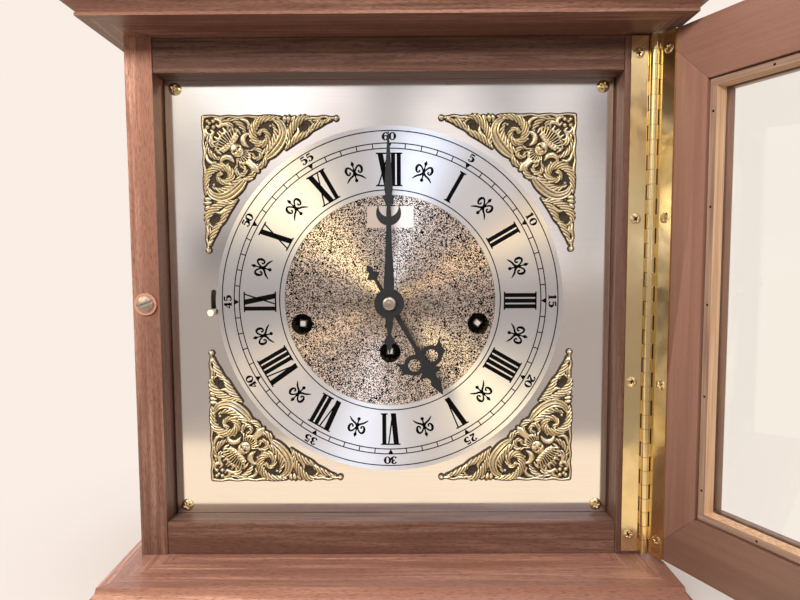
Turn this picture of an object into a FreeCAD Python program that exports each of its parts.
import FreeCAD, Part
import math
import os
from FreeCAD import Vector

# Table clock: a spring-driven chiming mantel clock in a walnut case, glazed door standing open.
# Millimetres. X to the right, Y into the clock, Z up; the origin is under the middle of the base.

# Case
CASE_WIDTH = 243.5
CASE_DEPTH = 140.0
CASE_HEIGHT = 246.0
SIDE_THICKNESS = 12.7
RAIL_HEIGHT = 16.0
RAIL_SETBACK = 0.4
RAIL_COVER = 1.0
BATTEN_WIDTH = 14.0
BATTEN_DEPTH = 14.0
PLINTH_HEIGHT = 26.0
PLINTH_STEP = 2.4
PLINTH_ROUND = 1.5
PLINTH_BACK_OVERHANG = 4.0
BASE_BOARD_HEIGHT = 6.0
BASE_REVEAL_SIDE = 7.6
BASE_REVEAL_FRONT = 10.0
BASE_FLARE = 2.2
BASE_LIP = 0.7
CORNICE_HEIGHT = 6.0
CORNICE_REVEAL_SIDE = 8.8
CORNICE_REVEAL_FRONT = 6.0
CORNICE_FILLET = 1.3
CORNICE_QUIRK = 0.5
CORNICE_FLARE = 4.6
TOP_HEIGHT = 13.0
TOP_STEP = 0.9
TOP_ROUND = 5.5
HOLLOW = 0.5
BACK_DOOR_THICKNESS = 8.0
BACK_DOOR_GAP = 1.0
FINGER_HOLE_RADIUS = 11.0
FINGER_HOLE_INSET = 26.0
PIVOT_PIN_RADIUS = 1.5
PIVOT_PIN_DEPTH = 3.0
PIVOT_CLEARANCE = 0.05

# Front door and its piano hinge
DOOR_OPEN_ANGLE = 115.5
DOOR_THICKNESS = 15.5
DOOR_TOP_GAP = 1.0
DOOR_BOTTOM_GAP = 2.0
DOOR_FACE_WIDTH = 26.0
REBATE_WIDTH = 4.0
REBATE_DEPTH = 10.0
SIGHT_CHAMFER = 2.0
GLASS_THICKNESS = 2.5
GLASS_CLEARANCE = 0.5
BEAD_HEIGHT = 6.0
MITRE_GAP = 0.02
KNUCKLE_RADIUS = 2.1
KNUCKLE_COUNT = 36
KNUCKLE_GAP = 0.2
HINGE_PIN_RADIUS = 1.0
HINGE_PIN_CLEARANCE = 0.05
LEAF_THICKNESS = 1.0
LEAF_WIDTH = 10.2
LEAF_NOTCH_CLEARANCE = 0.25
STRIKE_WASHER_RADIUS = 5.3
STRIKE_WASHER_THICKNESS = 1.2
STRIKE_HEAD_RADIUS = 3.8
STRIKE_HEAD_HEIGHT = 2.2
STRIKE_SHANK_RADIUS = 1.6
STRIKE_SHANK_LENGTH = 12.0
MAGNET_RADIUS = 5.0
MAGNET_DEPTH = 4.0
MAGNET_CLEARANCE = 0.3
SEAT_CLEARANCE = 0.02

# Dial
DIAL_RECESS = 12.0
DIAL_EDGE_CLEARANCE = 1.0
DIAL_THICKNESS = 1.0
RING_OUTER_RADIUS = 85.0
RING_INNER_RADIUS = 52.0
RING_THICKNESS = 0.8
CENTRE_CLEARANCE = 0.2
CENTRE_THICKNESS = 0.5
DIAL_CENTRE_HOLE = 4.6
WINDING_HOLE_RADIUS = 5.2
DIAL_SCREW_INSET = 5.0
DIAL_SCREW_HEAD_RADIUS = 3.0
DIAL_SCREW_HEAD_HEIGHT = 1.4
DIAL_SCREW_RADIUS = 1.4
DIAL_SCREW_LENGTH = 11.0
SPANDREL_CORNER = 90.0
SPANDREL_LEG = 65.5
SPANDREL_RING_GAP = 4.8
SPANDREL_THICKNESS = 1.6
SPANDREL_LOBE_OUT = 0.4
SPANDREL_TIP_RADIUS = 1.8
SPANDREL_HOLE_RADIUS = 1.6
SPANDREL_HOLE_ALONG = 50.2
SPANDREL_HOLE_IN = 5.3
VOLUTE_RADIUS = 8.6
VOLUTE_ALONG = 27.5
VOLUTE_IN = 9.4
VOLUTE_RELIEF = 0.9
VOLUTE_EYE_RELIEF = 1.2
MASK_IN = 16.0
MASK_RADIUS = 4.6
MASK_TOP_RADIUS = 3.0
MASK_RELIEF = 1.8
ROSETTE_IN = 4.4
ROSETTE_RADIUS = 3.4
ROSETTE_TOP_RADIUS = 1.6
LEVER_RADIUS = 35.4
LEVER_RING_GAP = 2.3
LEVER_REST_ANGLE = -8.0
LEVER_SWEEP = 16.0
LEVER_PIN_RADIUS = 1.0
LEVER_SLOT_CLEARANCE = 0.2
LEVER_KNOB_RADIUS = 1.6
LEVER_KNOB_REACH = 6.0
LEVER_THICKNESS = 1.2
LEVER_ROOM = 0.5

# Spandrel scallops as degrees from the diagonal and share of the ring gap, notches as shares of the leg
SPANDREL_LOBES = ((0.0, 0.71), (8.5, 0.62), (15.5, 0.54), (21.5, 0.40))
SPANDREL_NOTCHES = ((0.588, 0.031), (0.870, 0.034))

# Hands, five o'clock at rest
HAND_THICKNESS = 0.8
HOUR_HAND_HEIGHT = 12.2
MINUTE_HAND_HEIGHT = 15.0
HOUR_HAND_LENGTH = 50.5
MINUTE_HAND_LENGTH = 79.0
HOUR_HAND_ANGLE = 150.0
HAND_NUT_RADIUS = 3.2
HAND_NUT_HEIGHT = 2.8
HOUR_HUB_RADIUS = 6.2
MINUTE_HUB_RADIUS = 7.0
HOUR_EYE_X = 4.6
HOUR_EYE_Z = 31.7
HOUR_EYE_RADIUS = 3.05
HOUR_EYE_RIM = 2.0
CRESCENT_Z = 42.1
CRESCENT_RADIUS = 5.8
CRESCENT_BITE_Z = 44.9
CRESCENT_BITE_RADIUS = 4.6

# Hand outlines as half width and height, upwards; the hour arrow's heights count down from its tip
HOUR_STEM = [(1.25, 5.0), (0.95, 24.0), (1.9, 28.5), (1.9, 37.0)]
HOUR_ARROW = [(1.6, 15.1), (6.0, 11.7), (2.1, 10.4), (1.8, 8.2), (2.7, 6.6), (0.25, 0.0)]
HOUR_TAIL = [(0.3, -20.6), (1.5, -18.9), (1.2, -16.8), (3.5, -14.9), (0.8, -12.9), (1.1, -5.0)]
HOUR_HORN = [(7.6, 28.6), (9.6, 28.3), (12.3, 26.0), (11.0, 29.9), (11.7, 32.8), (8.4, 34.6)]
MINUTE_STEM = [(2.4, 6.0), (2.5, 9.2), (1.45, 26.0), (1.15, 36.8), (1.1, 42.0), (0.9, 45.2), (3.0, 49.8),
               (1.5, 50.4), (1.95, 53.0), (0.3, MINUTE_HAND_LENGTH)]
MINUTE_TAIL = [(0.25, -23.4), (1.3, -19.6), (2.7, -18.0), (0.8, -14.6), (0.8, -13.6), (1.8, -10.4),
               (1.8, -6.0)]

# Movement, in the dial's frame: x and z from the dial's centre, y behind the dial's face
FRONT_PLATE_Y = 20.0
PLATE_THICKNESS = 2.0
PLATE_GAP = 40.0
PLATE_HALF_WIDTH = 68.0
PLATE_TOP = 60.0
PLATE_BOTTOM = -48.0
PILLAR_RADIUS = 3.5
PILLAR_INSET = 6.0
DIAL_POST_RADIUS = 3.0
DIAL_POST_X = 56.0
DIAL_POST_Z = 40.0
SIDE_ARBOR_X = 43.5
SIDE_ARBOR_Z = -11.2
TIME_ARBOR_Z = -25.3
WINDING_ARBOR_RADIUS = 3.0
WINDING_PIVOT_RADIUS = 2.4
WINDING_SQUARE = 3.6
WINDING_END_Y = 2.0
WINDING_BEVEL = 0.6
WINDING_TURNS = {"time": 0.0, "strike": 6.0, "chime": 38.0}
RATCHET_RADIUS = 7.0
RATCHET_DEPTH = 1.4
RATCHET_TEETH = 16
RATCHET_THICKNESS = 2.0
RATCHET_PLATE_GAP = 1.5
CLICK_CLEARANCE = 0.5
CLICK_OUTLINE = [(-1.2, 0.2), (4.0, 0.6), (9.0, 1.2), (9.0, 3.6), (4.0, 2.6)]
CLICK_STUD = (7.6, 2.3)
BARREL_RADIUS = 19.0
BARREL_Y = 26.0
BARREL_LENGTH = 23.0
GREAT_WHEEL_THICKNESS = 2.5
WHEEL_THICKNESS = 1.2
ARBOR_RADIUS = 0.95
PIVOT_RADIUS = 0.7
RUNNING_CLEARANCE = 0.05
END_SHAKE = 0.1
HOUR_PIPE_RADIUS = 4.0
CANNON_RADIUS = 3.0
CANNON_TIP_RADIUS = 2.2
CANNON_LEAF_Y = 11.0
CANNON_LEAF_LENGTH = 3.0
MINUTE_WHEEL_SETBACK = 0.9
MINUTE_PINION_Y = 6.4
HOUR_WHEEL_SETBACK = 0.6
CENTRE_WHEEL_GAP = 1.2
THIRD_WHEEL_STEP = 3.8
TRAIN_STEP = 4.0
BALANCE_STEP = 5.0
SECOND_WHEEL_GAP = 3.0
GREAT_PINION_OVERLAP = 0.4
PINION_OVERLAP = 0.6

# Tooth counts and modules
GREAT_TEETH = 48
GREAT_PINION = 8
GREAT_MODULE = 0.9
SECOND_TEETH = 48
CENTRE_PINION = 8
SECOND_MODULE = 0.5625
CENTRE_TEETH = 64
THIRD_PINION = 8
CENTRE_MODULE = 0.4
THIRD_TEETH = 60
FOURTH_PINION = 8
FOURTH_TEETH = 50
ESCAPE_PINION = 10
TRAIN_MODULE = 0.36
ESCAPE_TEETH = 15
ESCAPE_RADIUS = 6.5
CANNON_TEETH = 12
MINUTE_TEETH = 36
MINUTE_PINION = 10
HOUR_TEETH = 40
MINUTE_MODULE = 0.5
TOOTH_ADDENDUM = 0.75
TOOTH_DEDENDUM = 1.5
TOOTH_TIP_SHARE = 0.12

# Directions from each arbor to the next, in degrees
THIRD_ANGLE = 125.0
FOURTH_ANGLE = 65.0
ESCAPE_ANGLE = 120.0
PALLET_ANGLE = 60.0
BALANCE_ANGLE = 30.0
MINUTE_ANGLE = 30.0
STRIKE_ANGLE = 60.0
DRUM_ANGLE = -80.0

# Escapement
PALLET_DISTANCE = 9.5
PALLET_CLEARANCE = 1.6
PALLET_SPREAD = 40.0
PALLET_LENGTH = 1.8
PALLET_HALF_WIDTH = 0.7
FORK_CLEARANCE = 4.0
BALANCE_DISTANCE = 12.5
BALANCE_RADIUS = 10.5
BALANCE_RIM = 1.4
BALANCE_SPOKE_HALF = 0.8
ESCAPE_TIP_SPAN = 4.0
ESCAPE_ROOT_LEAD = 12.0
ESCAPE_ROOT_SHARE = 0.72

# Chime
HAMMER_COUNT = 4
HAMMER_PITCH = 7.0
HAMMER_FIRST_Y = 71.0
HAMMER_THICKNESS = 2.0
HAMMER_PIVOT_X = 20.0
HAMMER_PIVOT_Z = -40.0
HAMMER_PIVOT_RADIUS = 1.5
HAMMER_BOSS_RADIUS = 3.5
HAMMER_HEAD_X = -18.0
HAMMER_HEAD_RADIUS = 3.0
HAMMER_HEAD_HEIGHT = 9.0
HAMMER_ROD_GAP = 0.8
DRUM_RADIUS = 8.0
DRUM_LENGTH = 30.0
DRUM_Y = 66.5
DRUM_ARBOR_RADIUS = 1.5
DRUM_PIN_RADIUS = 0.6
DRUM_PIN_HEIGHT = 1.2
DRUM_PINS_PER_TRACK = 5
STRIKE_WHEEL_RADIUS = 10.0
STRIKE_PINS = 8
DRUM_TAIL_CLEARANCE = 0.8
ROD_RADIUS = 1.75
ROD_HEIGHT = 26.0
ROD_LENGTH = 165.0
ROD_STEP = 7.0
ROD_BLOCK_X = 70.0
ROD_BLOCK_LENGTH = 16.0
ROD_BLOCK_MARGIN = 7.0
ROD_BLOCK_HEIGHT = 34.0

# Places worked out from the sizes above
HALF_CASE = CASE_WIDTH / 2
INNER_HALF = HALF_CASE - SIDE_THICKNESS
DOOR_STANDOFF = 2 * KNUCKLE_RADIUS
DOOR_REACH = DOOR_STANDOFF + DOOR_THICKNESS
PLINTH_FRONT = DOOR_REACH + BASE_REVEAL_FRONT + BASE_FLARE + PLINTH_STEP
PLINTH_DEPTH = PLINTH_FRONT + CASE_DEPTH + PLINTH_BACK_OVERHANG
FRONT_Y = PLINTH_FRONT - PLINTH_DEPTH / 2
BACK_Y = FRONT_Y + CASE_DEPTH
BASE_TOP = PLINTH_HEIGHT + BASE_BOARD_HEIGHT
SOFFIT = BASE_TOP + CASE_HEIGHT
DIAL_Y = FRONT_Y + DIAL_RECESS
DIAL_Z = BASE_TOP + CASE_HEIGHT / 2
DIAL_HALF_WIDTH = INNER_HALF - DIAL_EDGE_CLEARANCE
DIAL_HALF_HEIGHT = CASE_HEIGHT / 2 - RAIL_HEIGHT + RAIL_COVER
HINGE_X = HALF_CASE
HINGE_Y = FRONT_Y - KNUCKLE_RADIUS
DOOR_BOTTOM = BASE_TOP + DOOR_BOTTOM_GAP
DOOR_HEIGHT = CASE_HEIGHT - DOOR_BOTTOM_GAP - DOOR_TOP_GAP
STRIKE_X = -(HALF_CASE - SIDE_THICKNESS / 2)
DOOR_MEMBER_WIDTH = DOOR_FACE_WIDTH + REBATE_WIDTH
LIP_THICKNESS = DOOR_THICKNESS - REBATE_DEPTH
LEVER_PIVOT_X = LEVER_RADIUS - RING_OUTER_RADIUS - LEVER_RING_GAP
FRONT_PLATE_BACK = FRONT_PLATE_Y + PLATE_THICKNESS
BACK_PLATE_Y = FRONT_PLATE_BACK + PLATE_GAP
BACK_PLATE_BACK = BACK_PLATE_Y + PLATE_THICKNESS
GREAT_WHEEL_Y = BARREL_Y + BARREL_LENGTH
QUARTER_ROUND = 1 - math.sqrt(0.5)
AXIS_X = Vector(1, 0, 0)
AXIS_Y = Vector(0, 1, 0)
AXIS_Z = Vector(0, 0, 1)

pieces = {}


def box(x0, x1, y0, y1, z0, z1):
    """Block between two corners."""
    return Part.makeBox(x1 - x0, y1 - y0, z1 - z0, Vector(x0, y0, z0))


def rod(x, z, radius, y0, y1):
    """Round bar along Y."""
    return Part.makeCylinder(radius, y1 - y0, Vector(x, y0, z), AXIS_Y)


def post(x, y, radius, z0, z1):
    """Round bar along Z."""
    return Part.makeCylinder(radius, z1 - z0, Vector(x, y, z0), AXIS_Z)


def slab(points, y0, y1):
    """Flat plate with the outline points (x, z), from y0 to y1."""
    corners = [Vector(x, y0, z) for x, z in points]
    face = Part.Face(Part.makePolygon(corners + corners[:1]))
    return face.extrude(Vector(0, y1 - y0, 0))


def both_sides(points):
    """Closed outline from the right half of a shape that is symmetric about x = 0, listed upwards."""
    return points + [(-x, z) for x, z in reversed(points)]


def joined(solids):
    """Solids grown together into one."""
    return solids[0].multiFuse(solids[1:]).removeSplitter()


def group(solids):
    """Separate solids kept in one node."""
    return Part.makeCompound(solids)


def turned(shape, angle, x=0.0, z=0.0):
    """Copy of a shape turned clockwise, seen from the front, about an axis along Y."""
    copy = shape.copy()
    copy.rotate(Vector(x, 0, z), AXIS_Y, angle)
    return copy


def at_dial(shape):
    """Copy of a shape moved from the dial's frame to the clock's."""
    copy = shape.copy()
    copy.translate(Vector(0, DIAL_Y, DIAL_Z))
    return copy


def polar(x, z, distance, angle):
    """Point at a distance and angle, in degrees from +X towards +Z."""
    turn = math.radians(angle)
    return x + distance * math.cos(turn), z + distance * math.sin(turn)


def bar(start, end, half, y0, y1):
    """Straight flat bar of twice that half width between two points, from y0 to y1."""
    angle = math.degrees(math.atan2(end[1] - start[1], end[0] - start[0]))
    corners = [polar(*point, half, angle + turn) for point, turn in
               ((start, 90), (start, -90), (end, -90), (end, 90))]
    return slab(corners, y0, y1)


def edge_chain(edge, place):
    """Edges through an edge profile: a step is (out, up), or (out, up, hollow) for an arc."""
    edges = []
    for start, end in zip(edge, edge[1:]):
        a = place(start[0], start[1])
        b = place(end[0], end[1])
        if len(end) == 2:
            edges.append(Part.LineSegment(a, b).toShape())
            continue
        along = Vector(end[0] - start[0], end[1] - start[1], 0)
        across = Vector(-along.y, along.x, 0).normalize() * end[2]
        middle_out = (start[0] + end[0]) / 2 + across.x
        middle_up = (start[1] + end[1]) / 2 + across.y
        edges.append(Part.Arc(a, place(middle_out, middle_up), b).toShape())
    return edges


def moulded_board(edge, side_reveal, front_reveal, back_reveal, z0):
    """Board with the same moulded edge on its front and both sides, mitred, and a square back."""
    height = edge[-1][1]
    half = HALF_CASE + side_reveal
    front = FRONT_Y - DOOR_REACH - front_reveal
    back = BACK_Y + back_reveal
    reach = half + front_reveal + CASE_DEPTH

    def right(out, up):
        return Vector(half + out, -reach, z0 + up)

    def left(out, up):
        return Vector(-half - out, -reach, z0 + up)

    def face(out, up):
        return Vector(-reach, front - out, z0 + up)

    across = edge_chain(edge, right) + edge_chain(edge, left)
    for up, out in ((0, edge[0][0]), (height, edge[-1][0])):
        across.append(Part.LineSegment(right(out, up), left(out, up)).toShape())
    along = edge_chain(edge, face)
    low = Vector(-reach, back, z0)
    high = Vector(-reach, back, z0 + height)
    along.append(Part.LineSegment(face(edge[0][0], 0), low).toShape())
    along.append(Part.LineSegment(low, high).toShape())
    along.append(Part.LineSegment(high, face(edge[-1][0], height)).toShape())
    solids = []
    for edges, direction in ((across, AXIS_Y), (along, AXIS_X)):
        wire = Part.Wire(Part.__sortEdges__(edges))
        solids.append(Part.Face(wire).extrude(direction * 2 * reach))
    return solids[0].common(solids[1])


def gear(teeth, module, x, z, y0, y1, phase):
    """Toothed disc: straight flanks meet in a point between teeth; phase is a tooth's angle."""
    pitch_radius = module * teeth / 2
    tip = pitch_radius + TOOTH_ADDENDUM * module
    root = pitch_radius - TOOTH_DEDENDUM * module
    pitch = 360 / teeth
    points = []
    for tooth in range(teeth):
        middle = phase + tooth * pitch
        points.append(polar(x, z, root, middle - pitch / 2))
        points.append(polar(x, z, tip, middle - pitch / 2 * TOOTH_TIP_SHARE))
        points.append(polar(x, z, tip, middle + pitch / 2 * TOOTH_TIP_SHARE))
    return slab(points, y0, y1)


def meshed_phase(angle, teeth_a, teeth_b, phase_a=0.0):
    """Phase of gear b, at that angle from gear a, whose gap then faces a's tooth."""
    pitch_a = 360 / teeth_a
    lead = (phase_a - angle + pitch_a / 2) % pitch_a - pitch_a / 2
    return angle + 180 + 180 / teeth_b - lead * teeth_a / teeth_b


def arbor(x, z, y0=FRONT_PLATE_Y, y1=BACK_PLATE_BACK, radius=ARBOR_RADIUS, pivot=PIVOT_RADIUS):
    """Arbor between the plates with a pivot through each, and end shake at its shoulders."""
    shaft = rod(x, z, radius, FRONT_PLATE_BACK + END_SHAKE, BACK_PLATE_Y - END_SHAKE)
    return [shaft, rod(x, z, pivot, y0, y1)]


# Train places: each arbor stands at its pitch distance from the one that drives it
TIME_BARREL = (0.0, TIME_ARBOR_Z)
STRIKE_BARREL = (-SIDE_ARBOR_X, SIDE_ARBOR_Z)
CHIME_BARREL = (SIDE_ARBOR_X, SIDE_ARBOR_Z)
CENTRE = (0.0, 0.0)
GREAT_DISTANCE = GREAT_MODULE * (GREAT_TEETH + GREAT_PINION) / 2
SECOND_DISTANCE = SECOND_MODULE * (SECOND_TEETH + CENTRE_PINION) / 2
THIRD_DISTANCE = CENTRE_MODULE * (CENTRE_TEETH + THIRD_PINION) / 2
FOURTH_DISTANCE = TRAIN_MODULE * (THIRD_TEETH + FOURTH_PINION) / 2
ESCAPE_DISTANCE = TRAIN_MODULE * (FOURTH_TEETH + ESCAPE_PINION) / 2
MINUTE_DISTANCE = MINUTE_MODULE * (CANNON_TEETH + MINUTE_TEETH) / 2
HOUR_MODULE = 2 * MINUTE_DISTANCE / (MINUTE_PINION + HOUR_TEETH)
second_drop = (SECOND_DISTANCE ** 2 - GREAT_DISTANCE ** 2 + TIME_ARBOR_Z ** 2) / (2 * TIME_ARBOR_Z)
SECOND = (math.sqrt(SECOND_DISTANCE ** 2 - second_drop ** 2), second_drop)
SECOND_ANGLE = math.degrees(math.atan2(SECOND[1] - TIME_ARBOR_Z, SECOND[0]))
CENTRE_FROM_SECOND = math.degrees(math.atan2(-SECOND[1], -SECOND[0]))
THIRD = polar(*CENTRE, THIRD_DISTANCE, THIRD_ANGLE)
FOURTH = polar(*THIRD, FOURTH_DISTANCE, FOURTH_ANGLE)
ESCAPE = polar(*FOURTH, ESCAPE_DISTANCE, ESCAPE_ANGLE)
PALLET = polar(*ESCAPE, PALLET_DISTANCE, PALLET_ANGLE)
BALANCE = polar(*PALLET, BALANCE_DISTANCE, BALANCE_ANGLE)
MINUTE = polar(*CENTRE, MINUTE_DISTANCE, MINUTE_ANGLE)
STRIKE_WHEEL = polar(*STRIKE_BARREL, GREAT_DISTANCE, STRIKE_ANGLE)
DRUM = polar(*CHIME_BARREL, GREAT_DISTANCE, DRUM_ANGLE)
WINDING_PLACES = {"time": TIME_BARREL, "strike": STRIKE_BARREL, "chime": CHIME_BARREL}


def make_case():
    """Boards, panels, rails and battens of the case, and the back door on its pivot pins."""
    plinth_edge = [(-PLINTH_ROUND, 0), (0, PLINTH_ROUND), (0, PLINTH_HEIGHT - PLINTH_ROUND),
                   (-PLINTH_ROUND, PLINTH_HEIGHT, -PLINTH_ROUND * QUARTER_ROUND)]
    plinth_out = BASE_FLARE + PLINTH_STEP
    pieces["plinth_board"] = moulded_board(
        plinth_edge, BASE_REVEAL_SIDE + plinth_out, BASE_REVEAL_FRONT + plinth_out,
        PLINTH_BACK_OVERHANG, 0)
    base_edge = [(BASE_FLARE, 0), (BASE_FLARE, BASE_LIP), (0, BASE_BOARD_HEIGHT, HOLLOW)]
    base = moulded_board(base_edge, BASE_REVEAL_SIDE, BASE_REVEAL_FRONT, PLINTH_BACK_OVERHANG,
                         PLINTH_HEIGHT)
    cornice_edge = [(0, 0), (0, CORNICE_FILLET), (-CORNICE_QUIRK, CORNICE_FILLET),
                    (CORNICE_FLARE, CORNICE_HEIGHT, HOLLOW)]
    cornice = moulded_board(cornice_edge, CORNICE_REVEAL_SIDE, CORNICE_REVEAL_FRONT,
                            PLINTH_BACK_OVERHANG, SOFFIT)
    top_edge = [(0, 0), (0, TOP_HEIGHT - TOP_ROUND),
                (-TOP_ROUND, TOP_HEIGHT, -TOP_ROUND * QUARTER_ROUND)]
    top_out = CORNICE_FLARE + TOP_STEP
    pieces["top_board"] = moulded_board(
        top_edge, CORNICE_REVEAL_SIDE + top_out, CORNICE_REVEAL_FRONT + top_out,
        PLINTH_BACK_OVERHANG, SOFFIT + CORNICE_HEIGHT)

    left = box(-HALF_CASE, -INNER_HALF, FRONT_Y, BACK_Y, BASE_TOP, SOFFIT)
    shank = rod(STRIKE_X, DIAL_Z, STRIKE_SHANK_RADIUS + SEAT_CLEARANCE, FRONT_Y,
                FRONT_Y + STRIKE_SHANK_LENGTH)
    pieces["side_panel_left"] = left.cut(shank)
    pieces["side_panel_right"] = box(INNER_HALF, HALF_CASE, FRONT_Y, BACK_Y, BASE_TOP, SOFFIT)
    rail_y = FRONT_Y + RAIL_SETBACK
    pieces["front_rail_top"] = box(-INNER_HALF, INNER_HALF, rail_y, DIAL_Y, SOFFIT - RAIL_HEIGHT, SOFFIT)
    pieces["front_rail_bottom"] = box(-INNER_HALF, INNER_HALF, rail_y, DIAL_Y, BASE_TOP,
                                      BASE_TOP + RAIL_HEIGHT)
    batten_y = DIAL_Y + DIAL_THICKNESS
    lever_reach = LEVER_RADIUS + LEVER_KNOB_RADIUS + LEVER_ROOM
    lever_half = lever_reach * math.sin(math.radians(LEVER_SWEEP / 2)) + LEVER_KNOB_RADIUS + LEVER_ROOM
    lever_room = box(LEVER_PIVOT_X - lever_reach, LEVER_PIVOT_X, batten_y,
                     batten_y + 2 * LEVER_THICKNESS + LEVER_ROOM, DIAL_Z - lever_half, DIAL_Z + lever_half)
    battens = []
    for side in (-1, 1):
        x0, x1 = sorted((side * INNER_HALF, side * (INNER_HALF - BATTEN_WIDTH)))
        batten = box(x0, x1, batten_y, batten_y + BATTEN_DEPTH, BASE_TOP, SOFFIT).cut(lever_room)
        for x, z in dial_screw_places():
            if x * side > 0:
                batten = batten.cut(at_dial(rod(x, z, DIAL_SCREW_RADIUS + SEAT_CLEARANCE, 0,
                                                DIAL_SCREW_LENGTH)))
        battens.append(batten)
    pieces["dial_battens"] = group(battens)

    half = BACK_DOOR_THICKNESS / 2
    pivot_x = INNER_HALF - BACK_DOOR_GAP - half
    pivot_y = BACK_Y - half
    z0 = BASE_TOP + BACK_DOOR_GAP
    z1 = SOFFIT - BACK_DOOR_GAP
    free_x = -INNER_HALF + BACK_DOOR_GAP
    door = box(free_x, pivot_x, BACK_Y - BACK_DOOR_THICKNESS, BACK_Y, z0, z1)
    door = joined([door, post(pivot_x, pivot_y, half, z0, z1)])
    door = door.cut(rod(free_x + FINGER_HOLE_INSET, DIAL_Z, FINGER_HOLE_RADIUS,
                        BACK_Y - BACK_DOOR_THICKNESS, BACK_Y))
    pins = []
    for low, high in ((BASE_TOP - PIVOT_PIN_DEPTH, z0 + PIVOT_PIN_DEPTH),
                      (z1 - PIVOT_PIN_DEPTH, SOFFIT + PIVOT_PIN_DEPTH)):
        pins.append(post(pivot_x, pivot_y, PIVOT_PIN_RADIUS, low, high))
        hole = post(pivot_x, pivot_y, PIVOT_PIN_RADIUS + PIVOT_CLEARANCE, low, high)
        door = door.cut(hole)
        base = base.cut(hole)
        cornice = cornice.cut(hole)
    pieces["back_door"] = door
    pieces["back_door_pins"] = group(pins)
    pieces["base_board"] = base
    pieces["cornice_board"] = cornice


def hinge_leaf(side, parity):
    """Leaf of the piano hinge about the origin, towards -X, with its wood at side * Y."""
    pitch = DOOR_HEIGHT / KNUCKLE_COUNT
    y0, y1 = sorted((side * KNUCKLE_RADIUS, side * (KNUCKLE_RADIUS - LEAF_THICKNESS)))
    notch = KNUCKLE_RADIUS + LEAF_NOTCH_CLEARANCE
    solids = [box(-LEAF_WIDTH, -notch, y0, y1, 0, DOOR_HEIGHT)]
    for index in range(parity, KNUCKLE_COUNT, 2):
        z0 = index * pitch + KNUCKLE_GAP / 2
        z1 = (index + 1) * pitch - KNUCKLE_GAP / 2
        solids.append(box(-notch, 0, y0, y1, z0, z1))
        solids.append(post(0, 0, KNUCKLE_RADIUS, z0, z1))
    bore = post(0, 0, HINGE_PIN_RADIUS + HINGE_PIN_CLEARANCE, 0, DOOR_HEIGHT)
    return joined(solids).cut(bore)


def place_hinge(shape, angle):
    """Moves a shape from the hinge's frame to the clock's, with the door turned open by angle."""
    shape.translate(Vector(HINGE_X, HINGE_Y, DOOR_BOTTOM))
    shape.rotate(Vector(HINGE_X, HINGE_Y, 0), AXIS_Z, angle)
    return shape


def door_member(length, turn, x, z):
    """Mitred frame member: outer edge on the outside, a glass rebate behind its sight edge."""
    y_back = -KNUCKLE_RADIUS
    y_front = y_back - DOOR_THICKNESS
    rebate_y = y_front + LIP_THICKNESS
    section = [(y_back, 0), (y_front, 0), (y_front, DOOR_MEMBER_WIDTH - SIGHT_CHAMFER),
               (y_front + SIGHT_CHAMFER, DOOR_MEMBER_WIDTH), (rebate_y, DOOR_MEMBER_WIDTH),
               (rebate_y, DOOR_FACE_WIDTH), (y_back, DOOR_FACE_WIDTH)]
    corners = [Vector(-length / 2, y, up) for y, up in section]
    bar = Part.Face(Part.makePolygon(corners + corners[:1])).extrude(Vector(length, 0, 0))
    half = length / 2 - MITRE_GAP
    inner = half - DOOR_MEMBER_WIDTH
    mitre = slab([(-half, 0), (half, 0), (inner, DOOR_MEMBER_WIDTH), (-inner, DOOR_MEMBER_WIDTH)],
                 y_front, y_back)
    member = turned(bar.common(mitre), turn)
    member.translate(Vector(x, 0, z))
    return member


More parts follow.
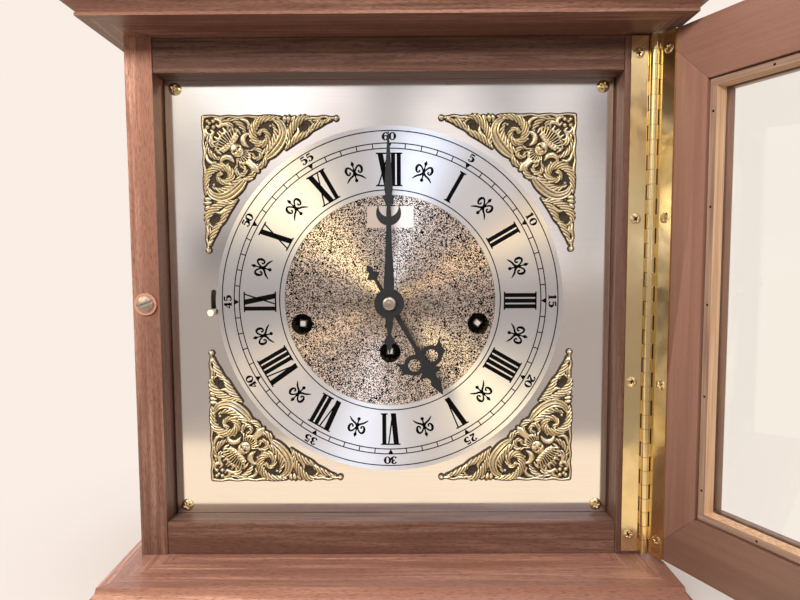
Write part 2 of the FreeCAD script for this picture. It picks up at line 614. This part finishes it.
def make_door():
    """Glazed front door, built closed in the hinge's frame and then swung open."""
    middle_x = -CASE_WIDTH / 2
    middle_z = DOOR_HEIGHT / 2
    y_back = -KNUCKLE_RADIUS
    glass_y = y_back - DOOR_THICKNESS + LIP_THICKNESS
    door = {
        "door_rail_bottom": door_member(CASE_WIDTH, 0, middle_x, 0),
        "door_rail_top": door_member(CASE_WIDTH, 180, middle_x, DOOR_HEIGHT),
        "door_stile_latch": door_member(DOOR_HEIGHT, 90, -CASE_WIDTH, middle_z),
        "door_stile_hinge": door_member(DOOR_HEIGHT, -90, 0, middle_z),
        "hinge_leaf_door": hinge_leaf(-1, 1),
    }
    inset = DOOR_FACE_WIDTH + GLASS_CLEARANCE
    x0 = -CASE_WIDTH + inset
    x1 = -inset
    z0 = inset
    z1 = DOOR_HEIGHT - inset
    door["door_glass"] = box(x0, x1, glass_y, glass_y + GLASS_THICKNESS, z0, z1)
    bead_y0 = glass_y + GLASS_THICKNESS
    bead_y1 = bead_y0 + BEAD_HEIGHT
    width = REBATE_WIDTH - 2 * GLASS_CLEARANCE
    door["glass_beads"] = group([
        box(x0, x1, bead_y0, bead_y1, z0, z0 + width),
        box(x0, x1, bead_y0, bead_y1, z1 - width, z1),
        box(x0, x0 + width, bead_y0, bead_y1, z0 + width, z1 - width),
        box(x1 - width, x1, bead_y0, bead_y1, z0 + width, z1 - width)])
    magnet_x = STRIKE_X - HINGE_X
    magnet_z = DIAL_Z - DOOR_BOTTOM
    strike_top = KNUCKLE_RADIUS - STRIKE_WASHER_THICKNESS - STRIKE_HEAD_HEIGHT
    magnet_face = strike_top - MAGNET_CLEARANCE
    pocket_y = y_back - MAGNET_DEPTH
    door["door_magnet"] = rod(magnet_x, magnet_z, MAGNET_RADIUS, pocket_y, magnet_face)
    pocket = rod(magnet_x, magnet_z, MAGNET_RADIUS + SEAT_CLEARANCE, pocket_y, y_back)
    door["door_stile_latch"] = door["door_stile_latch"].cut(pocket)
    for name, shape in door.items():
        pieces[name] = place_hinge(shape, DOOR_OPEN_ANGLE)

    pieces["hinge_leaf_case"] = place_hinge(hinge_leaf(1, 0), 0)
    pieces["hinge_pin"] = place_hinge(post(0, 0, HINGE_PIN_RADIUS, 0, DOOR_HEIGHT), 0)
    washer_y = FRONT_Y - STRIKE_WASHER_THICKNESS
    hole = rod(STRIKE_X, DIAL_Z, STRIKE_SHANK_RADIUS + SEAT_CLEARANCE, washer_y, FRONT_Y)
    pieces["strike_washer"] = rod(STRIKE_X, DIAL_Z, STRIKE_WASHER_RADIUS, washer_y, FRONT_Y).cut(hole)
    head_y = washer_y - STRIKE_HEAD_HEIGHT
    head = rod(STRIKE_X, DIAL_Z, STRIKE_HEAD_RADIUS, head_y, washer_y)
    head = head.makeFillet(STRIKE_HEAD_HEIGHT / 2, [head.Edges[0]])
    pieces["strike_screw"] = joined([head, rod(STRIKE_X, DIAL_Z, STRIKE_SHANK_RADIUS, washer_y,
                                               FRONT_Y + STRIKE_SHANK_LENGTH)])


def dial_screw_places():
    """Centres of the dial's four corner screws."""
    x = DIAL_HALF_WIDTH - DIAL_SCREW_INSET
    z = DIAL_HALF_HEIGHT - DIAL_SCREW_INSET
    return [(sx * x, sz * z) for sx in (-1, 1) for sz in (-1, 1)]


def make_spandrel():
    """Cast corner ornament for the upper right corner: legs along the edges, hollow towards the ring."""
    y0 = -SPANDREL_THICKNESS
    start = SPANDREL_CORNER - SPANDREL_LEG
    hollow = RING_OUTER_RADIUS + SPANDREL_RING_GAP
    plate = box(start, SPANDREL_CORNER, y0, 0, start, SPANDREL_CORNER).cut(rod(0, 0, hollow, y0, 0))
    solids = [plate]
    cuts = []
    for angle, share in SPANDREL_LOBES:
        for side in ((1,) if angle == 0 else (-1, 1)):
            place = polar(0, 0, hollow + SPANDREL_LOBE_OUT, 45 + side * angle)
            solids.append(rod(*place, share * SPANDREL_RING_GAP, y0, 0))

    def corner(along, inward, flip):
        x, z = SPANDREL_CORNER - along, SPANDREL_CORNER - inward
        return (z, x) if flip else (x, z)

    for flip in (False, True):
        tip = corner(SPANDREL_LEG, SPANDREL_TIP_RADIUS, flip)
        solids.append(rod(*tip, SPANDREL_TIP_RADIUS, y0, 0))
        volute = corner(VOLUTE_ALONG, VOLUTE_IN, flip)
        ring = rod(*volute, VOLUTE_RADIUS, y0 - VOLUTE_RELIEF, y0)
        solids.append(ring.cut(rod(*volute, VOLUTE_RADIUS / 2, y0 - VOLUTE_RELIEF, y0)))
        solids.append(rod(*volute, VOLUTE_RADIUS / 4, y0 - VOLUTE_EYE_RELIEF, y0))
        cuts.append(rod(*corner(SPANDREL_HOLE_ALONG, SPANDREL_HOLE_IN, flip), SPANDREL_HOLE_RADIUS, y0, 0))
        for along_share, radius_share in SPANDREL_NOTCHES:
            radius = radius_share * SPANDREL_LEG
            cuts.append(rod(*corner(along_share * SPANDREL_LEG, -radius / 2, flip), radius, y0, 0))
    for inward, radius, top_radius, relief in (
            (MASK_IN, MASK_RADIUS, MASK_TOP_RADIUS, MASK_RELIEF),
            (ROSETTE_IN, ROSETTE_RADIUS, ROSETTE_TOP_RADIUS, VOLUTE_RELIEF)):
        x, z = corner(inward, inward, False)
        solids.append(Part.makeCone(radius, top_radius, relief, Vector(x, y0, z), -AXIS_Y))
    return joined(solids).cut(group(cuts))


def make_dial():
    """Dial plate with its ring, centre, corner ornaments, screws and the chime lever."""
    holes = [rod(0, 0, DIAL_CENTRE_HOLE, -RING_THICKNESS, DIAL_THICKNESS)]
    for x, z in WINDING_PLACES.values():
        holes.append(rod(x, z, WINDING_HOLE_RADIUS, -RING_THICKNESS, DIAL_THICKNESS))
    plate = box(-DIAL_HALF_WIDTH, DIAL_HALF_WIDTH, 0, DIAL_THICKNESS, -DIAL_HALF_HEIGHT, DIAL_HALF_HEIGHT)
    screw_holes = [rod(x, z, DIAL_SCREW_RADIUS + SEAT_CLEARANCE, 0, DIAL_THICKNESS)
                   for x, z in dial_screw_places()]
    slot = lever_slot()
    pieces["dial_plate"] = at_dial(plate.cut(group(holes + screw_holes + [slot])))
    ring = rod(0, 0, RING_OUTER_RADIUS, -RING_THICKNESS, 0)
    pieces["chapter_ring"] = at_dial(ring.cut(rod(0, 0, RING_INNER_RADIUS, -RING_THICKNESS, 0)))
    centre = rod(0, 0, RING_INNER_RADIUS - CENTRE_CLEARANCE, -CENTRE_THICKNESS, 0)
    pieces["dial_centre"] = at_dial(centre.cut(group(holes)))
    spandrel = make_spandrel()
    pieces["spandrels"] = group([at_dial(turned(spandrel, quarter * 90)) for quarter in range(4)])
    screws = []
    for x, z in dial_screw_places():
        head = rod(x, z, DIAL_SCREW_HEAD_RADIUS, -DIAL_SCREW_HEAD_HEIGHT, 0)
        head = head.makeFillet(DIAL_SCREW_HEAD_HEIGHT / 2, [head.Edges[0]])
        screws.append(at_dial(joined([head, rod(x, z, DIAL_SCREW_RADIUS, 0, DIAL_SCREW_LENGTH)])))
    pieces["dial_screws"] = group(screws)
    pieces["silent_lever"] = at_dial(make_lever())


def lever_slot():
    """Curved slot in the dial plate that the chime lever's pin runs in, along its own arc."""
    half = LEVER_PIN_RADIUS + LEVER_SLOT_CLEARANCE
    reach = math.radians(LEVER_SWEEP / 2)
    ends = [(LEVER_PIVOT_X - LEVER_RADIUS * math.cos(turn), LEVER_RADIUS * math.sin(turn))
            for turn in (-reach, reach)]
    outer = LEVER_RADIUS + half
    inner = LEVER_RADIUS - half
    sector = slab([(LEVER_PIVOT_X, 0), polar(LEVER_PIVOT_X, 0, 2 * outer, 180 - LEVER_SWEEP / 2),
                   polar(LEVER_PIVOT_X, 0, 2 * outer, 180 + LEVER_SWEEP / 2)], 0, DIAL_THICKNESS)
    band = rod(LEVER_PIVOT_X, 0, outer, 0, DIAL_THICKNESS)
    band = band.cut(rod(LEVER_PIVOT_X, 0, inner, 0, DIAL_THICKNESS)).common(sector)
    return joined([band] + [rod(x, z, half, 0, DIAL_THICKNESS) for x, z in ends])


def make_lever():
    """Chime lever: an arm behind the dial on a stud of the front plate, a pin and a knob in front."""
    y0 = DIAL_THICKNESS + LEVER_THICKNESS
    y1 = y0 + LEVER_THICKNESS
    boss = DIAL_POST_RADIUS
    tip_x = LEVER_PIVOT_X - LEVER_RADIUS
    arm = slab([(LEVER_PIVOT_X, -boss / 2), (LEVER_PIVOT_X, boss / 2),
                (tip_x, LEVER_KNOB_RADIUS), (tip_x, -LEVER_KNOB_RADIUS)], y0, y1)
    solids = [arm, rod(LEVER_PIVOT_X, 0, boss, y0, y1), rod(tip_x, 0, LEVER_KNOB_RADIUS, y0, y1),
              rod(tip_x, 0, LEVER_PIN_RADIUS, -LEVER_KNOB_REACH / 2, y1),
              rod(tip_x, 0, LEVER_KNOB_RADIUS, -LEVER_KNOB_REACH, -LEVER_KNOB_REACH / 3)]
    lever = joined(solids).cut(rod(LEVER_PIVOT_X, 0, PIVOT_RADIUS + RUNNING_CLEARANCE, y0, y1))
    return turned(lever, LEVER_REST_ANGLE, LEVER_PIVOT_X, 0)


def make_hands():
    """Pierced flat hands: the hour hand on its pipe, the minute hand and nut on the cannon."""
    y1 = -HOUR_HAND_HEIGHT
    y0 = y1 - HAND_THICKNESS
    arrow = [(x, HOUR_HAND_LENGTH - drop) for x, drop in HOUR_ARROW]
    solids = [rod(0, 0, HOUR_HUB_RADIUS, y0, y1)]
    for outline in (HOUR_STEM, arrow, HOUR_TAIL):
        solids.append(slab(both_sides(outline), y0, y1))
    holes = [rod(0, 0, HOUR_PIPE_RADIUS + SEAT_CLEARANCE, y0, y1)]
    for side in (-1, 1):
        eye = (side * HOUR_EYE_X, HOUR_EYE_Z)
        solids.append(rod(*eye, HOUR_EYE_RADIUS + HOUR_EYE_RIM, y0, y1))
        solids.append(slab([(side * x, z) for x, z in HOUR_HORN], y0, y1))
        holes.append(rod(*eye, HOUR_EYE_RADIUS, y0, y1))
    hour = joined(solids).cut(group(holes))
    pieces["hour_hand"] = at_dial(turned(hour, HOUR_HAND_ANGLE))

    y1 = -MINUTE_HAND_HEIGHT
    y0 = y1 - HAND_THICKNESS
    crescent = rod(0, CRESCENT_Z, CRESCENT_RADIUS, y0, y1)
    crescent = crescent.cut(rod(0, CRESCENT_BITE_Z, CRESCENT_BITE_RADIUS, y0, y1))
    solids = [rod(0, 0, MINUTE_HUB_RADIUS, y0, y1), crescent]
    for outline in (MINUTE_STEM, MINUTE_TAIL):
        solids.append(slab(both_sides(outline), y0, y1))
    minute = joined(solids).cut(rod(0, 0, CANNON_TIP_RADIUS + SEAT_CLEARANCE, y0, y1))
    pieces["minute_hand"] = at_dial(minute)
    nut = rod(0, 0, HAND_NUT_RADIUS, y0 - HAND_NUT_HEIGHT, y0)
    nut = nut.makeFillet(HAND_NUT_HEIGHT / 2, [nut.Edges[0]])
    pieces["hand_nut"] = at_dial(nut.cut(rod(0, 0, CANNON_TIP_RADIUS + SEAT_CLEARANCE,
                                             y0 - HAND_NUT_HEIGHT / 2, y0)))


def make_motion_work():
    """Cannon pinion, minute wheel on its stud, and hour wheel with its pipe."""
    hand_back = -MINUTE_HAND_HEIGHT
    tip_y = hand_back - HAND_THICKNESS - HAND_NUT_HEIGHT / 2 + END_SHAKE
    leaf_y0 = CANNON_LEAF_Y
    leaf_y1 = leaf_y0 + CANNON_LEAF_LENGTH
    cannon = joined([rod(0, 0, CANNON_RADIUS, hand_back, leaf_y0),
                     rod(0, 0, CANNON_TIP_RADIUS, tip_y, hand_back),
                     gear(CANNON_TEETH, MINUTE_MODULE, 0, 0, leaf_y0, leaf_y1, 0)])
    bore = rod(0, 0, ARBOR_RADIUS + RUNNING_CLEARANCE, hand_back + HAND_THICKNESS, leaf_y1)
    pieces["cannon_pinion"] = at_dial(cannon.cut(bore))

    wheel_y = leaf_y0 + MINUTE_WHEEL_SETBACK
    pinion_y = MINUTE_PINION_Y
    phase = meshed_phase(MINUTE_ANGLE, CANNON_TEETH, MINUTE_TEETH)
    minute = joined([gear(MINUTE_TEETH, MINUTE_MODULE, *MINUTE, wheel_y, wheel_y + WHEEL_THICKNESS, phase),
                     gear(MINUTE_PINION, HOUR_MODULE, *MINUTE, pinion_y, wheel_y, 0)])
    pieces["minute_wheel"] = at_dial(minute.cut(rod(*MINUTE, PIVOT_RADIUS + RUNNING_CLEARANCE, pinion_y,
                                                    wheel_y + WHEEL_THICKNESS)))

    hour_y = pinion_y + HOUR_WHEEL_SETBACK
    phase = meshed_phase(MINUTE_ANGLE + 180, MINUTE_PINION, HOUR_TEETH)
    pipe_y = -HOUR_HAND_HEIGHT - HAND_THICKNESS
    hour = joined([gear(HOUR_TEETH, HOUR_MODULE, 0, 0, hour_y, hour_y + WHEEL_THICKNESS, phase),
                   rod(0, 0, HOUR_PIPE_RADIUS, pipe_y, hour_y)])
    pieces["hour_wheel"] = at_dial(hour.cut(rod(0, 0, CANNON_RADIUS + RUNNING_CLEARANCE, pipe_y,
                                                hour_y + WHEEL_THICKNESS)))


def make_barrels():
    """Three spring barrels with great wheels, their winding arbors with ratchets, and the clicks."""
    clicks = []
    wheel_y1 = GREAT_WHEEL_Y + GREAT_WHEEL_THICKNESS
    ratchet_y1 = FRONT_PLATE_Y - RATCHET_PLATE_GAP
    ratchet_y0 = ratchet_y1 - RATCHET_THICKNESS
    for name, (x, z) in WINDING_PLACES.items():
        barrel = joined([rod(x, z, BARREL_RADIUS, BARREL_Y, GREAT_WHEEL_Y),
                         gear(GREAT_TEETH, GREAT_MODULE, x, z, GREAT_WHEEL_Y, wheel_y1, 0)])
        pieces[name + "_barrel"] = at_dial(barrel.cut(rod(x, z, WINDING_ARBOR_RADIUS + RUNNING_CLEARANCE,
                                                          BARREL_Y, wheel_y1)))
        teeth = []
        for tooth in range(RATCHET_TEETH):
            angle = tooth * 360 / RATCHET_TEETH
            teeth.append(polar(x, z, RATCHET_RADIUS, angle))
            teeth.append(polar(x, z, RATCHET_RADIUS - RATCHET_DEPTH, angle))
        half = WINDING_SQUARE / 2
        square = box(x - half, x + half, WINDING_END_Y, ratchet_y0, z - half, z + half)
        tip = [edge for edge in square.Edges if edge.BoundBox.YMax < WINDING_END_Y + WINDING_BEVEL]
        square = turned(square.makeChamfer(WINDING_BEVEL, tip), WINDING_TURNS[name], x, z)
        shaft = arbor(x, z, ratchet_y0, BACK_PLATE_BACK, WINDING_ARBOR_RADIUS, WINDING_PIVOT_RADIUS)
        shaft.append(slab(teeth, ratchet_y0, ratchet_y1))
        shaft.append(square)
        pieces[name + "_winding_arbor"] = at_dial(joined(shaft))
        nose_z = z + RATCHET_RADIUS + CLICK_CLEARANCE
        click = slab([(x + out, nose_z + up) for out, up in CLICK_OUTLINE], ratchet_y0, ratchet_y1)
        stud = rod(x + CLICK_STUD[0], nose_z + CLICK_STUD[1], PIVOT_RADIUS, ratchet_y0, FRONT_PLATE_Y)
        clicks.append(at_dial(joined([click, stud])))
    pieces["winding_clicks"] = group(clicks)


def wheel_on_arbor(place, wheel, pinion):
    """One arbor of a train: wheel and pinion are (teeth, module, y0, y1, phase)."""
    parts = arbor(*place)
    for teeth, module, y0, y1, phase in (wheel, pinion):
        parts.append(gear(teeth, module, *place, y0, y1, phase))
    return at_dial(joined(parts))


def make_trains():
    """Going train from the second wheel to the balance, the strike wheel and the chime drum."""
    great_end = GREAT_WHEEL_Y + GREAT_WHEEL_THICKNESS
    great_y0 = GREAT_WHEEL_Y - GREAT_PINION_OVERLAP
    great_y1 = great_end + GREAT_PINION_OVERLAP
    second_y = great_end + SECOND_WHEEL_GAP
    centre_y = FRONT_PLATE_BACK + CENTRE_WHEEL_GAP
    third_y = centre_y + THIRD_WHEEL_STEP
    fourth_y = third_y + TRAIN_STEP
    escape_y = fourth_y + TRAIN_STEP
    balance_y = escape_y + BALANCE_STEP
    leaf = PINION_OVERLAP

    def span(y, grow=0.0):
        return y - grow, y + WHEEL_THICKNESS + grow

    phase = meshed_phase(SECOND_ANGLE, GREAT_TEETH, GREAT_PINION)
    pieces["second_wheel"] = wheel_on_arbor(
        SECOND, (SECOND_TEETH, SECOND_MODULE, *span(second_y), 0),
        (GREAT_PINION, GREAT_MODULE, great_y0, great_y1, phase))
    centre = joined(arbor(*CENTRE, -MINUTE_HAND_HEIGHT + 2 * HAND_THICKNESS, BACK_PLATE_BACK, ARBOR_RADIUS,
                          ARBOR_RADIUS) +
                    [gear(CENTRE_TEETH, CENTRE_MODULE, *CENTRE, *span(centre_y), 0),
                     gear(CENTRE_PINION, SECOND_MODULE, *CENTRE, *span(second_y, leaf),
                          meshed_phase(CENTRE_FROM_SECOND, SECOND_TEETH, CENTRE_PINION))])
    pieces["centre_wheel"] = at_dial(centre)
    phase = meshed_phase(THIRD_ANGLE, CENTRE_TEETH, THIRD_PINION)
    pieces["third_wheel"] = wheel_on_arbor(
        THIRD, (THIRD_TEETH, TRAIN_MODULE, *span(third_y), 0),
        (THIRD_PINION, CENTRE_MODULE, *span(centre_y, leaf), phase))
    phase = meshed_phase(FOURTH_ANGLE, THIRD_TEETH, FOURTH_PINION)
    pieces["fourth_wheel"] = wheel_on_arbor(
        FOURTH, (FOURTH_TEETH, TRAIN_MODULE, *span(fourth_y), 0),
        (FOURTH_PINION, TRAIN_MODULE, *span(third_y, leaf), phase))

    teeth = []
    for tooth in range(ESCAPE_TEETH):
        angle = tooth * 360 / ESCAPE_TEETH
        teeth.append(polar(*ESCAPE, ESCAPE_RADIUS, angle))
        teeth.append(polar(*ESCAPE, ESCAPE_RADIUS, angle + ESCAPE_TIP_SPAN))
        teeth.append(polar(*ESCAPE, ESCAPE_RADIUS * ESCAPE_ROOT_SHARE, angle + ESCAPE_ROOT_LEAD))
    escape = arbor(*ESCAPE) + [slab(teeth, *span(escape_y)),
                               gear(ESCAPE_PINION, TRAIN_MODULE, *ESCAPE, *span(fourth_y, leaf),
                                    meshed_phase(ESCAPE_ANGLE, FOURTH_TEETH, ESCAPE_PINION))]
    pieces["escape_wheel"] = at_dial(joined(escape))

    reach = ESCAPE_RADIUS + PALLET_CLEARANCE
    lever = arbor(*PALLET)
    for side in (-1, 1):
        tip = polar(*ESCAPE, reach, PALLET_ANGLE + side * PALLET_SPREAD)
        heel = polar(*ESCAPE, reach + PALLET_LENGTH, PALLET_ANGLE + side * PALLET_SPREAD)
        lever.append(bar(PALLET, heel, PALLET_HALF_WIDTH, *span(escape_y)))
        lever.append(bar(heel, tip, PALLET_HALF_WIDTH, *span(escape_y)))
    fork = polar(*PALLET, BALANCE_DISTANCE - FORK_CLEARANCE, BALANCE_ANGLE)
    lever.append(bar(PALLET, fork, PALLET_HALF_WIDTH, *span(escape_y)))
    pieces["pallet_lever"] = at_dial(joined(lever))

    inner = BALANCE_RADIUS - BALANCE_RIM
    y0, y1 = span(balance_y)
    rim = rod(*BALANCE, BALANCE_RADIUS, y0, y1).cut(rod(*BALANCE, inner, y0, y1))
    x, z = BALANCE
    reach = inner + BALANCE_RIM / 2
    spoke = box(x - reach, x + reach, y0, y1, z - BALANCE_SPOKE_HALF, z + BALANCE_SPOKE_HALF)
    pieces["balance_wheel"] = at_dial(joined(arbor(*BALANCE) + [rim, spoke]))

    strike = arbor(*STRIKE_WHEEL) + [
        rod(*STRIKE_WHEEL, STRIKE_WHEEL_RADIUS, *span(centre_y)),
        gear(GREAT_PINION, GREAT_MODULE, *STRIKE_WHEEL, great_y0, great_y1,
             meshed_phase(STRIKE_ANGLE, GREAT_TEETH, GREAT_PINION))]
    for pin in range(STRIKE_PINS):
        place = polar(*STRIKE_WHEEL, STRIKE_WHEEL_RADIUS - 2 * DRUM_PIN_RADIUS, pin * 360 / STRIKE_PINS)
        strike.append(rod(*place, DRUM_PIN_RADIUS, *span(centre_y, leaf)))
    pieces["strike_wheel"] = at_dial(joined(strike))

    drum = arbor(*DRUM, FRONT_PLATE_Y, DRUM_Y + DRUM_LENGTH, DRUM_ARBOR_RADIUS, DRUM_ARBOR_RADIUS)
    drum.append(gear(GREAT_PINION, GREAT_MODULE, *DRUM, great_y0, great_y1,
                     meshed_phase(DRUM_ANGLE, GREAT_TEETH, GREAT_PINION)))
    drum.append(rod(*DRUM, DRUM_RADIUS, DRUM_Y, DRUM_Y + DRUM_LENGTH))
    for track in range(HAMMER_COUNT):
        for pin in range(DRUM_PINS_PER_TRACK):
            angle = (pin + track / HAMMER_COUNT) * 360 / DRUM_PINS_PER_TRACK
            px, pz = polar(0, 0, 1.0, angle)
            drum.append(Part.makeCylinder(DRUM_PIN_RADIUS, DRUM_RADIUS + DRUM_PIN_HEIGHT,
                                          Vector(DRUM[0], HAMMER_FIRST_Y + track * HAMMER_PITCH, DRUM[1]),
                                          Vector(px, 0, pz)))
    pieces["chime_drum"] = at_dial(joined(drum))


def make_plates():
    """Brass front and back plates with their pivot holes, studs, pillars and dial posts."""
    small = [SECOND, THIRD, FOURTH, ESCAPE, PALLET, BALANCE, STRIKE_WHEEL]
    holes = {place: PIVOT_RADIUS for place in small}
    holes.update({place: WINDING_PIVOT_RADIUS for place in WINDING_PLACES.values()})
    holes[CENTRE] = ARBOR_RADIUS
    holes[DRUM] = DRUM_ARBOR_RADIUS
    half = PLATE_HALF_WIDTH
    front = box(-half, half, FRONT_PLATE_Y, FRONT_PLATE_BACK, PLATE_BOTTOM, PLATE_TOP)
    back = box(-half, half, BACK_PLATE_Y, BACK_PLATE_BACK, PLATE_BOTTOM, PLATE_TOP)
    front_holes = []
    back_holes = []
    for (x, z), radius in holes.items():
        front_holes.append(rod(x, z, radius + RUNNING_CLEARANCE, FRONT_PLATE_Y, FRONT_PLATE_BACK))
        back_holes.append(rod(x, z, radius + RUNNING_CLEARANCE, BACK_PLATE_Y, BACK_PLATE_BACK))
    studs = [rod(*MINUTE, PIVOT_RADIUS, MINUTE_PINION_Y, FRONT_PLATE_Y),
             rod(LEVER_PIVOT_X, 0, PIVOT_RADIUS, DIAL_THICKNESS + LEVER_THICKNESS, FRONT_PLATE_Y)]
    pieces["front_plate"] = at_dial(joined([front.cut(group(front_holes))] + studs))
    last_y = HAMMER_FIRST_Y + (HAMMER_COUNT - 1) * HAMMER_PITCH + HAMMER_THICKNESS
    hammer_rod = rod(HAMMER_PIVOT_X, HAMMER_PIVOT_Z, HAMMER_PIVOT_RADIUS, BACK_PLATE_Y, last_y)
    pieces["back_plate"] = at_dial(joined([back.cut(group(back_holes)), hammer_rod]))
    x = half - PILLAR_INSET
    pillars = []
    for sx in (-1, 1):
        for z in (PLATE_BOTTOM + PILLAR_INSET, PLATE_TOP - PILLAR_INSET):
            pillars.append(at_dial(rod(sx * x, z, PILLAR_RADIUS, FRONT_PLATE_BACK, BACK_PLATE_Y)))
        for sz in (-1, 1):
            pillars.append(at_dial(rod(sx * DIAL_POST_X, sz * DIAL_POST_Z, DIAL_POST_RADIUS,
                                       DIAL_THICKNESS, FRONT_PLATE_Y)))
    pieces["movement_pillars"] = group(pillars)


def make_chime():
    """Four hammers on one pivot rod behind the back plate, over four rods cast into a block."""
    rod_z = BASE_TOP - DIAL_Z + ROD_HEIGHT
    head_z = rod_z + ROD_RADIUS + HAMMER_ROD_GAP
    pivot = (HAMMER_PIVOT_X, HAMMER_PIVOT_Z)
    aim = math.degrees(math.atan2(DRUM[1] - pivot[1], DRUM[0] - pivot[0]))
    gap = math.hypot(DRUM[0] - pivot[0], DRUM[1] - pivot[1])
    tail = gap - DRUM_RADIUS - DRUM_PIN_HEIGHT - DRUM_TAIL_CLEARANCE
    tail_end = polar(*pivot, tail, aim)
    rods = []
    holes = []
    for index in range(HAMMER_COUNT):
        y = HAMMER_FIRST_Y + index * HAMMER_PITCH
        y0 = y - HAMMER_THICKNESS / 2
        y1 = y + HAMMER_THICKNESS / 2
        half = HAMMER_THICKNESS / 2
        head = post(HAMMER_HEAD_X, y, HAMMER_HEAD_RADIUS, head_z, head_z + HAMMER_HEAD_HEIGHT)
        top = head_z + HAMMER_HEAD_HEIGHT - half
        arm = slab([(pivot[0] - half, pivot[1] - half), (pivot[0] + half, pivot[1] + half),
                    (HAMMER_HEAD_X + half, top), (HAMMER_HEAD_X - half, top - 2 * half)], y0, y1)
        boss = rod(*pivot, HAMMER_BOSS_RADIUS, y0 - half, y1 + half)
        hammer = joined([boss, arm, bar(pivot, tail_end, half, y0, y1), head])
        hammer = hammer.cut(rod(*pivot, HAMMER_PIVOT_RADIUS + RUNNING_CLEARANCE, y0 - half, y1 + half))
        pieces["hammer_%d" % (index + 1)] = at_dial(hammer)
        length = ROD_LENGTH - index * ROD_STEP
        start = Vector(ROD_BLOCK_X + ROD_BLOCK_LENGTH, y, rod_z)
        rods.append(at_dial(Part.makeCylinder(ROD_RADIUS, length, start, -AXIS_X)))
        holes.append(Part.makeCylinder(ROD_RADIUS + SEAT_CLEARANCE, ROD_BLOCK_LENGTH, start, -AXIS_X))
    pieces["chime_rods"] = group(rods)
    y0 = HAMMER_FIRST_Y - ROD_BLOCK_MARGIN
    y1 = HAMMER_FIRST_Y + (HAMMER_COUNT - 1) * HAMMER_PITCH + ROD_BLOCK_MARGIN
    floor_z = BASE_TOP - DIAL_Z
    block = box(ROD_BLOCK_X, ROD_BLOCK_X + ROD_BLOCK_LENGTH, y0, y1, floor_z, floor_z + ROD_BLOCK_HEIGHT)
    pieces["rod_block"] = at_dial(block.cut(group(holes)))


def main():
    """Builds every piece and writes one file per piece."""
    make_case()
    make_door()
    make_dial()
    make_hands()
    make_motion_work()
    make_barrels()
    make_trains()
    make_plates()
    make_chime()
    os.makedirs("parts", exist_ok=True)
    for name, shape in pieces.items():
        shape.exportStep("parts/" + name + ".step")
        solids = shape.Solids
        state = "ok" if shape.isValid() else "INVALID"
        print("%-22s %2d solids %10.1f mm3 %s" % (name, len(solids), shape.Volume, state))
    print(len(pieces), "nodes")


main()
